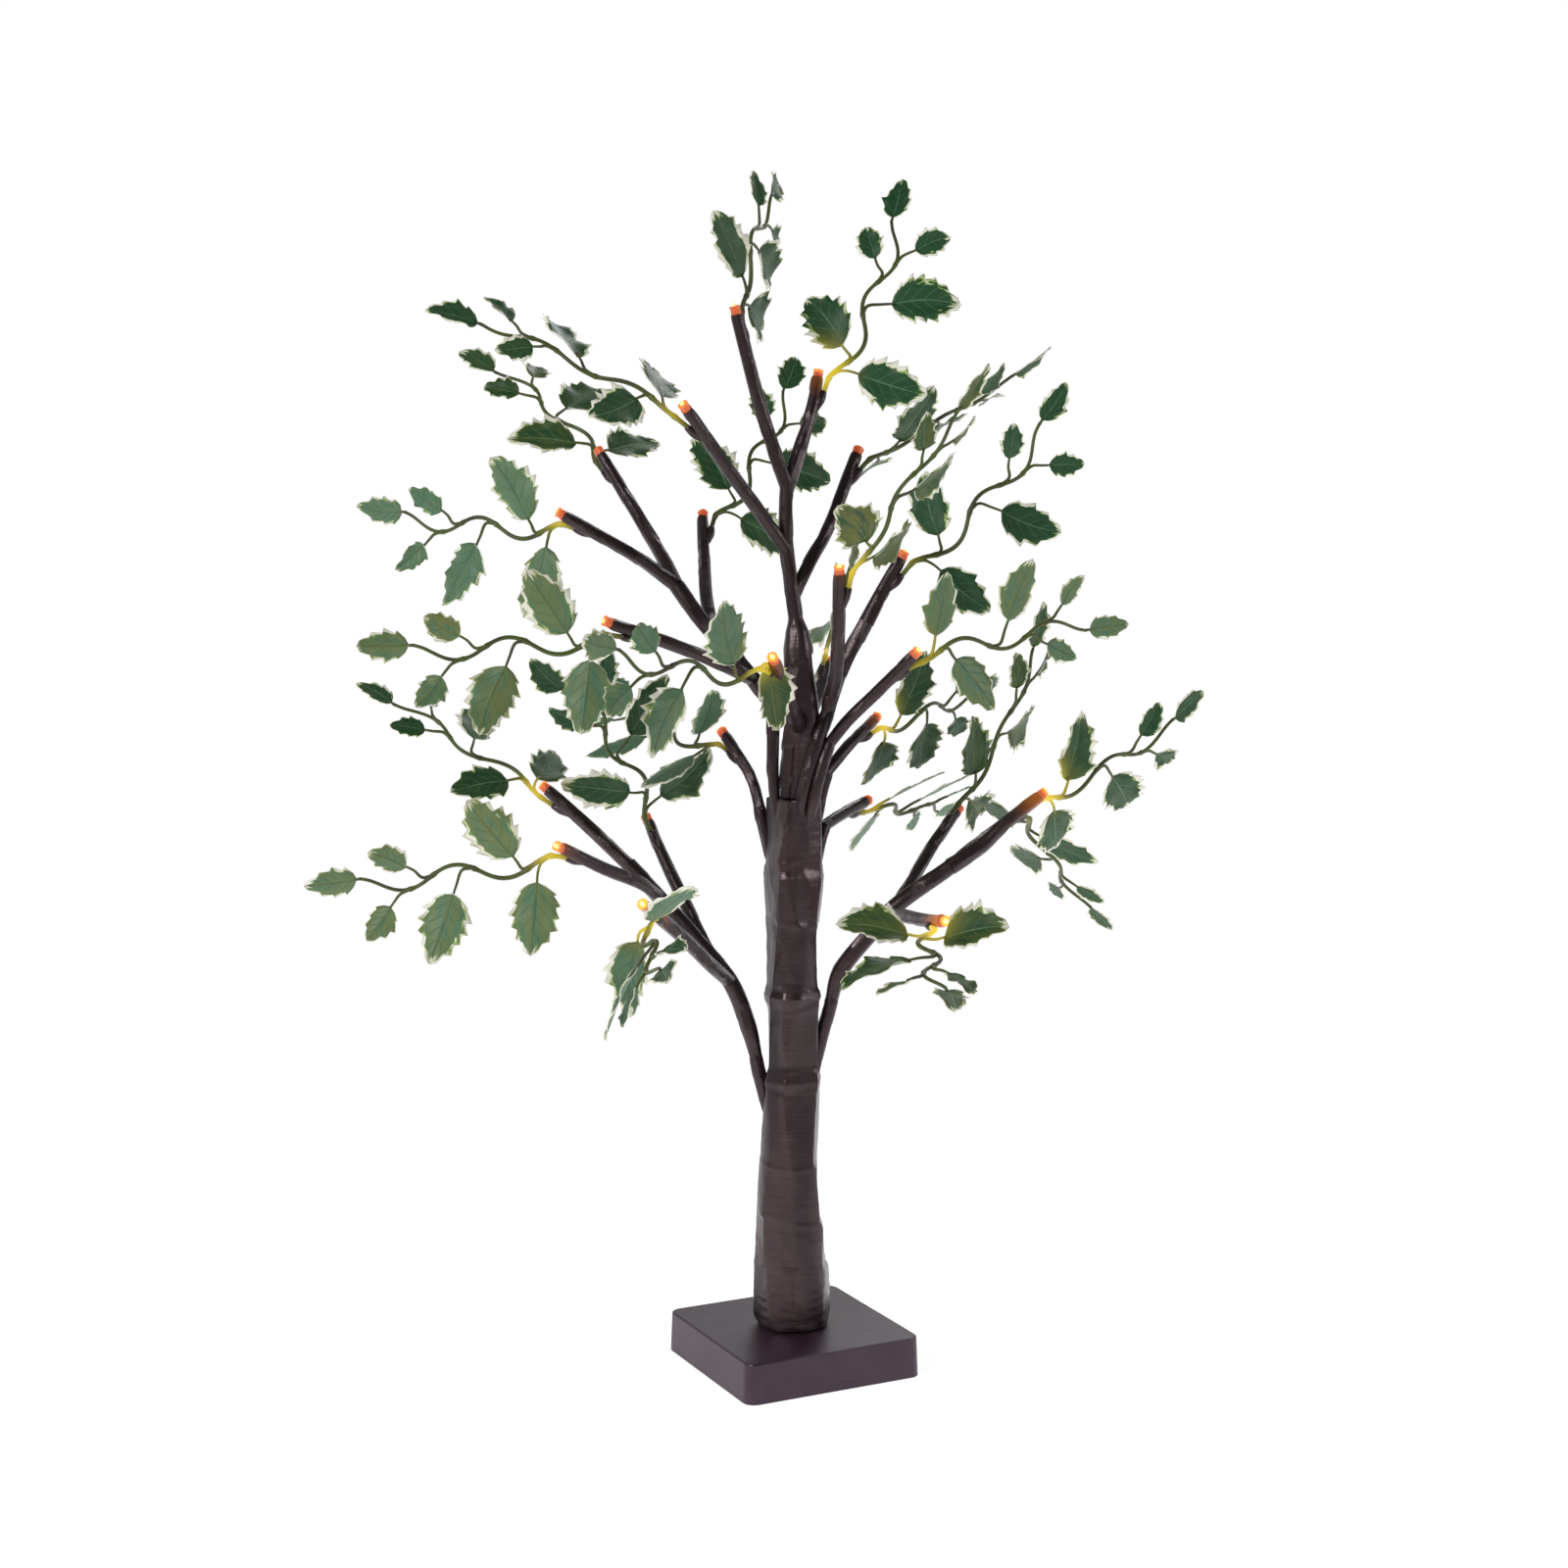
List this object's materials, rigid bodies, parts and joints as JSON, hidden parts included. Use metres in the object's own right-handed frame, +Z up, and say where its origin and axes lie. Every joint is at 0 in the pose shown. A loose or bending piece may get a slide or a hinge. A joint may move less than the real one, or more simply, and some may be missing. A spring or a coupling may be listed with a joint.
{
  "type": "artificial tabletop tree",
  "caption": "Small artificial tree with bendable film-wrapped boughs, variegated leaf sprays and lit lamps at the twig tips, on a square battery base.",
  "frame": {"origin": "centre of the square base, on the surface the tree stands on", "axes": "+Z up along the trunk, +X and +Y along the sides of the square base; the battery door lies towards -Y"},
  "size_m": [0.4567, 0.3928, 0.5967],
  "materials": {
    "base_plastic": "matte",
    "switch_plastic": "satin",
    "circuit_board": "satin",
    "inner_tube": "matte",
    "bark_film": "satin",
    "lead_insulation": "satin",
    "cell_jacket": "satin",
    "contact_metal": "satin",
    "screw_metal": "satin",
    "lamp_cap": "gloss",
    "leaf": "satin"
  },
  "bodies": {
    "stand": {"base_shell": "base_plastic", "base_plate": "base_plastic", "battery_cell_1": "cell_jacket", "battery_cell_2": "cell_jacket", "battery_cell_3": "cell_jacket", "contact_strip_left": "contact_metal", "contact_strip_right": "contact_metal", "timer_board": "circuit_board", "plate_screw_1": "screw_metal", "plate_screw_2": "screw_metal", "plate_screw_3": "screw_metal", "plate_screw_4": "screw_metal", "trunk_tube": "inner_tube", "trunk_wrap": "bark_film", "lead_bundle": "lead_insulation", "bough_leader": "bark_film", "lamps_leader": "lamp_cap", "leaf_spray_01": "leaf", "leaf_spray_02": "leaf", "leaf_spray_03": "leaf", "leaf_spray_08": "leaf", "leaf_spray_11": "leaf", "leaf_spray_12": "leaf"},
    "battery_door": {"battery_door": "base_plastic"},
    "switch_slider": {"switch_slider": "switch_plastic"},
    "upper_left": {"bough_upper_left": "bark_film", "lamps_upper_left": "lamp_cap", "leaf_spray_04": "leaf", "leaf_spray_05": "leaf", "leaf_spray_06": "leaf", "leaf_spray_07": "leaf"},
    "upper_right": {"bough_upper_right": "bark_film", "lamps_upper_right": "lamp_cap", "leaf_spray_09": "leaf", "leaf_spray_10": "leaf"},
    "right_high": {"bough_right_high": "bark_film", "lamps_right_high": "lamp_cap", "leaf_spray_13": "leaf"},
    "right_middle": {"bough_right_middle": "bark_film", "lamps_right_middle": "lamp_cap", "leaf_spray_14": "leaf"},
    "right_low": {"bough_right_low": "bark_film", "lamps_right_low": "lamp_cap", "leaf_spray_16": "leaf"},
    "left_middle": {"bough_left_middle": "bark_film", "lamps_left_middle": "lamp_cap", "leaf_spray_15": "leaf"},
    "lower_left": {"bough_lower_left": "bark_film", "lamps_lower_left": "lamp_cap", "leaf_spray_17": "leaf", "leaf_spray_18": "leaf", "leaf_spray_19": "leaf", "leaf_spray_20": "leaf"},
    "lower_right": {"bough_lower_right": "bark_film", "lamps_lower_right": "lamp_cap", "leaf_spray_21": "leaf", "leaf_spray_22": "leaf", "leaf_spray_23": "leaf", "leaf_spray_24": "leaf"}
  },
  "joints": [
    {"name": "upper_left_bend", "type": "hinge", "parent": "stand", "child": "upper_left", "pos_m": [-0.00894, 0.00448, 0.333], "axis": [0.7151, 0.6991, 0], "range_deg": [-12, 12]},
    {"name": "upper_right_bend", "type": "hinge", "parent": "stand", "child": "upper_right", "pos_m": [0.01431, -0.0094, 0.328], "axis": [-0.7278, -0.6858, 0], "range_deg": [-8, 10]},
    {"name": "right_high_bend", "type": "hinge", "parent": "stand", "child": "right_high", "pos_m": [0.01296, -0.01208, 0.313], "axis": [-0.6467, -0.7627, 0], "range_deg": [-20, 8]},
    {"name": "right_middle_bend", "type": "hinge", "parent": "stand", "child": "right_middle", "pos_m": [0.01744, -0.00091, 0.298], "axis": [0.4149, -0.9099, 0], "range_deg": [-8, 20]},
    {"name": "right_low_bend", "type": "hinge", "parent": "stand", "child": "right_low", "pos_m": [0.01879, 0.00401, 0.271], "axis": [0.5293, -0.8484, 0], "range_deg": [-15, 6]},
    {"name": "left_middle_bend", "type": "hinge", "parent": "stand", "child": "left_middle", "pos_m": [-0.01162, 0.01253, 0.28], "axis": [0.9755, 0.2199, 0], "range_deg": [-3, 20]},
    {"name": "lower_left_bend", "type": "hinge", "parent": "stand", "child": "lower_left", "pos_m": [-0.01609, 0.00806, 0.156], "axis": [0.2961, 0.9552, 0], "range_deg": [-25, 3]},
    {"name": "lower_right_bend", "type": "hinge", "parent": "stand", "child": "lower_right", "pos_m": [0.01699, -0.00851, 0.185], "axis": [-0.2571, -0.9664, 0], "range_deg": [-25, 3]},
    {"name": "battery_door_hinge", "type": "hinge", "parent": "stand", "child": "battery_door", "pos_m": [0, 0.0009, 0], "axis": [1, 0, 0], "range_deg": [0, 70]},
    {"name": "switch_slide", "type": "slide", "parent": "stand", "child": "switch_slider", "axis": [1, 0, 0], "range_m": [-0.0025, 0.0025]}
  ]
}
